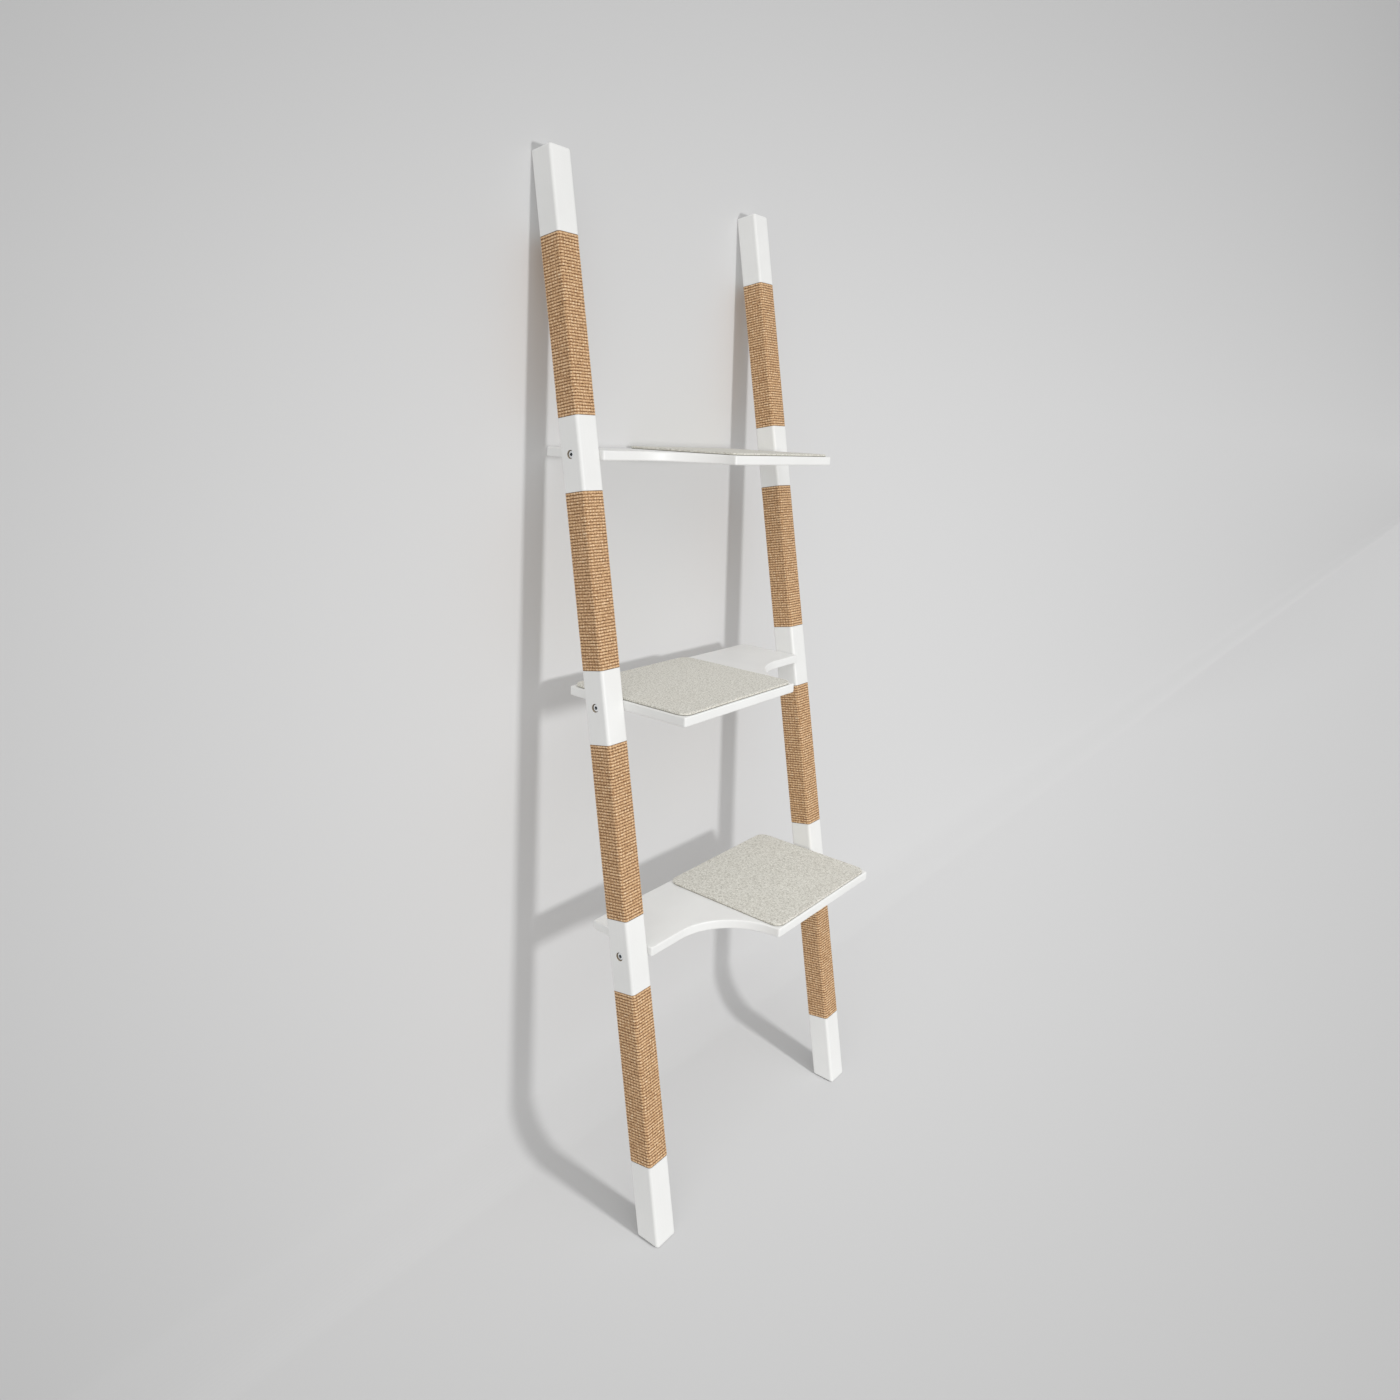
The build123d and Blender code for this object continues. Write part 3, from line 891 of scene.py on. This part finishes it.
for normal, size in ((Vector((1, 0, 0)), PAD_LENGTH), (Vector((0, 1, 0)), PAD_DEPTH)):
    cuts = round(size / CUT_PITCH)
    for cut in range(1, cuts):
        at = pad_middle.dot(normal) - size / 2 + cut * size / cuts
        bpy.ops.mesh.select_all(action="SELECT")
        bpy.ops.mesh.bisect(plane_co=normal * at, plane_no=normal)
bpy.ops.object.mode_set(mode="OBJECT")
print("felt faces", len(felt_pad.data.polygons))

# %% [markdown]
# ## What felt looks like
# Undyed wool felt is a mix of pale and darker fibres pressed together. From a step away it reads as
# a warm light grey with fine flecks, soft and without any gloss. The flecks are two noises at the
# size of tufts and fibres, and a sheen gives the soft light of loose ends on the surface.

# %% Felt material
HAIR_SHARE = 0.6

felt, tree, shader = new_material("pressed_wool_felt", Roughness=0.95, Specular_IOR_Level=0.15,
                                  Sheen_Weight=0.25, Sheen_Roughness=0.6)
place = add_node(tree, "TexCoord").outputs["Object"]
tufts = spots(tree, place, 3.2 * MM, 4.0, Roughness=0.7)
hairs = spots(tree, place, 1.1 * MM, 3.0, Distortion=1.5)
flecks = calc(tree, "MULTIPLY_ADD", hairs, HAIR_SHARE, tufts)
flecks = calc(tree, "MULTIPLY", flecks, 1 / (1 + HAIR_SHARE))
tint(tree, shader, flecks, (0.37, "#918D80"), (0.45, "#C4C1B6"), (0.54, "#DDDBD1"), (0.64, "#F0EFE9"))
emboss(tree, shader, flecks, 0.5, 0.5 * MM)

# A dark matt felt for the lower rim: painted shade in the crease under the pad.
felt_rim_with_painted_shade = new_material("felt_rim_painted_shade", Roughness=1.0, Specular_IOR_Level=0.1, Base_Color=linear("#6F6A5D"))[0]
print("materials", felt.name, felt_rim_with_painted_shade.name)

# %% Lay the pads
for level, name in enumerate(LEVELS):
    pad = place_from_pattern(felt_pad, name + "_felt", level)
    underside = joint_place(level, -1).z + BOARD_THICKNESS / 2
    # Broad swells some 45 mm across and small ones of 11 mm, within half a millimetre.
    for vertex in pad.data.vertices:
        rise = (vertex.co.z - underside) / PAD_THICKNESS
        swell = noise.noise(vertex.co * 22) * 0.35 + noise.noise(vertex.co * 90) * 0.15
        vertex.co.z += rise * (swell - 0.25) * MM
    smooth(pad, angle=50)
    finish_piece(pad, felt, "felt", name + "_felt_pad")
    # Painted shade: the faces of the lower rim get the dark felt.
    paint_faces(pad, felt_rim_with_painted_shade, lambda middle: underside + CLOSE < middle.z < underside + LOWER_RIM)
bpy.data.objects.remove(felt_pad)

# %% [markdown]
# ## Bolts
# A cap screw of zinc-plated steel holds each end of a board. Only its head shows, at the bottom of
# its sunk hole: a short cylinder with a broken edge and a six-sided socket. The shank is turned in
# steps with the head, from the tip up, and its thread is a row of small ridges. A six-sided punch
# takes out the socket, whose inside is painted a darker steel as painted shade in the recess.

# %% Bolt
HEAD_RADIUS = 6.5 * MM
HEAD_HEIGHT = 8 * MM
HEAD_TOP = SEAT + HEAD_HEIGHT
BOLT_GRIP = 20 * MM
BOLT_TIP = 1 * MM
THREAD_PITCH = 1.25 * MM
THREAD_TURNS = 20
THREAD_DEPTH = 0.55 * MM
SOCKET_HALF = 3 * MM
SOCKET_DEPTH = 5 * MM

steps = [(-BOLT_GRIP, BOLT_RADIUS - BOLT_TIP), (-BOLT_GRIP + BOLT_TIP, BOLT_RADIUS)]
for turn in range(THREAD_TURNS):
    ridge = -BOLT_GRIP + BOLT_TIP + turn * THREAD_PITCH
    steps += [(ridge + THREAD_PITCH / 2, BOLT_RADIUS - THREAD_DEPTH), (ridge + THREAD_PITCH, BOLT_RADIUS)]
steps += [(SEAT, BOLT_RADIUS), (SEAT, HEAD_RADIUS - 0.3 * MM), (SEAT + 0.3 * MM, HEAD_RADIUS),
          (HEAD_TOP - 0.8 * MM, HEAD_RADIUS), (HEAD_TOP - 0.25 * MM, HEAD_RADIUS - 0.2 * MM),
          (HEAD_TOP, HEAD_RADIUS - 0.7 * MM)]
bolt_pattern = turned_bar("bolt_pattern", steps, (0, 0, 0), 1)
deselect_all()
bpy.ops.mesh.primitive_cylinder_add(vertices=6, radius=SOCKET_HALF / cos(pi / 6), depth=2 * SOCKET_DEPTH)
punch = bpy.context.object
punch.rotation_euler = (0, pi / 2, 0)
punch.location = (HEAD_TOP, 0, 0)
settle(punch)
cut_away(bolt_pattern, punch)
smooth(bolt_pattern, angle=35)
print("bolt faces", len(bolt_pattern.data.polygons))

# %% [markdown]
# ## Plated steel
# Zinc plating is a bright grey metal with a slightly cloudy polish. Turning leaves marks that are
# too fine to see here, so they are drawn a little coarser and very low, as a fine noise.

# %% Steel material
steel, tree, shader = new_material("zinc_plated_steel", Metallic=1.0, Roughness=0.3)
place = add_node(tree, "TexCoord").outputs["Object"]
clouds = spots(tree, place, 2.5 * MM, 3.0)
tint(tree, shader, clouds, (0.3, "#EEF2F5"), (0.7, "#FAFCFD"))
polish = add_node(tree, "MapRange", inputs={"Value": clouds, "To Min": 0.24, "To Max": 0.38})
tree.links.new(polish.outputs["Result"], shader.inputs["Roughness"])
emboss(tree, shader, spots(tree, place, 0.4 * MM, 1.0), 0.15, 0.03 * MM)

# A darker steel for inside the socket: painted shade in the recess.
socket_steel_with_painted_shade = new_material("socket_steel_painted_shade", Metallic=1.0, Roughness=0.5, Base_Color=linear("#A9AFB4"))[0]
print("materials", steel.name, socket_steel_with_painted_shade.name)

# %% Set the bolts
for level, name in enumerate(LEVELS):
    for side_name, side in SIDES.items():
        bolt = copy_of(bolt_pattern, f"{name}_{side_name}_cap_screw")
        if side < 0:
            bolt.rotation_euler = (0, 0, pi)
        start = joint_place(level, side)
        bolt.location = start
        settle(bolt)
        finish_piece(bolt, steel, "bolt_steel", f"{name}_{side_name}_bolt")
        # Painted shade: the faces inside the socket get the darker steel.
        paint_faces(bolt, socket_steel_with_painted_shade, lambda middle: (middle - start).yz.length < 1.1 * SOCKET_HALF
                    and SEAT + HEAD_HEIGHT / 4 < side * (middle.x - start.x) < HEAD_TOP - PLAY)
bpy.data.objects.remove(bolt_pattern)

# %% [markdown]
# ## Dowels and inserts
# Inside each joint are two more pieces that nobody sees once the ladder is built: a beech dowel,
# glued into the board, and a steel insert with the bolt's thread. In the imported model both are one
# piece with the board. Here they are turned as pieces of their own, each from a few steps.

# %% Turn the dowels and inserts
DOWEL_TIP = 1 * MM
RIBS = 11
RIB_PITCH = 2 * MM
RIB_DEPTH = 0.5 * MM
INSERT_SUNK = 0.2 * MM
INSERT_BREAK = 0.3 * MM

dowel_steps = [(-DOWEL_REACH, DOWEL_RADIUS - DOWEL_TIP), (-DOWEL_REACH + DOWEL_TIP, DOWEL_RADIUS),
               (DOWEL_REACH - DOWEL_TIP, DOWEL_RADIUS), (DOWEL_REACH, DOWEL_RADIUS - DOWEL_TIP)]
insert_steps = [(-INSERT_LENGTH, INSERT_RADIUS)]
for rib in range(RIBS):
    groove = -INSERT_LENGTH + RIB_DEPTH + rib * RIB_PITCH
    insert_steps += [(groove, INSERT_RADIUS - RIB_DEPTH), (groove + RIB_PITCH / 2, INSERT_RADIUS)]
insert_steps += [(-INSERT_SUNK - INSERT_BREAK, INSERT_RADIUS), (-INSERT_SUNK, INSERT_RADIUS - INSERT_BREAK)]

for level, name in enumerate(LEVELS):
    for side_name, side in SIDES.items():
        dowel = turned_bar(f"{name}_{side_name}_dowel", dowel_steps, dowel_place(level, side), side)
        smooth(dowel, angle=30)
        finish_piece(dowel, bare_wood_with_painted_shade, "lacquered_wood")
        start = joint_place(level, side)
        insert = turned_bar(f"{name}_{side_name}_insert", insert_steps, start, side)
        cut_away(insert, drill(BOLT_RADIUS + PLAY, -INSERT_LENGTH - OVERRUN, OVERRUN, start, side))
        smooth(insert, angle=30)
        finish_piece(insert, steel, "bolt_steel")

# %% [markdown]
# ## Foot pads
# A thin square of rubber under each foot keeps the ladder from sliding. It is cut from sheet, with
# round corners and a shallow tread that is inset on its underside.

# %% Rubber material
rubber, tree, shader = new_material("black_sheet_rubber", Roughness=0.8)
place = add_node(tree, "TexCoord").outputs["Object"]
dust = spots(tree, place, 1.5 * MM, 4.0)
tint(tree, shader, dust, (0.4, "#1E1E1F"), (0.7, "#38383A"))
emboss(tree, shader, dust, 0.4, 0.1 * MM)
print("material", rubber.name)

# %% Cut the foot pads
FOOT_CORNER = 4 * MM
TREAD_BORDER = 3 * MM
TREAD_DEPTH = 0.4 * MM

for side_name in SIDES:
    low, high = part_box(side_name + "_foot_pad")
    pad = new_block(side_name + "_rubber_foot", low, high)
    pick("edges", lambda ends: abs(ends[0].z - ends[1].z) > FOOT_TOP / 2)
    bpy.ops.mesh.bevel(offset=FOOT_CORNER, segments=6, affect="EDGES")
    pick("faces", lambda corners: all(corner.z < CLOSE for corner in corners))
    bpy.ops.mesh.inset(thickness=TREAD_BORDER)
    bpy.ops.mesh.extrude_region_move(TRANSFORM_OT_translate={"value": (0, 0, TREAD_DEPTH)})
    bpy.ops.object.mode_set(mode="OBJECT")
    smooth(pad, angle=30)
    finish_piece(pad, rubber, "rubber_pad", side_name + "_foot_pad")
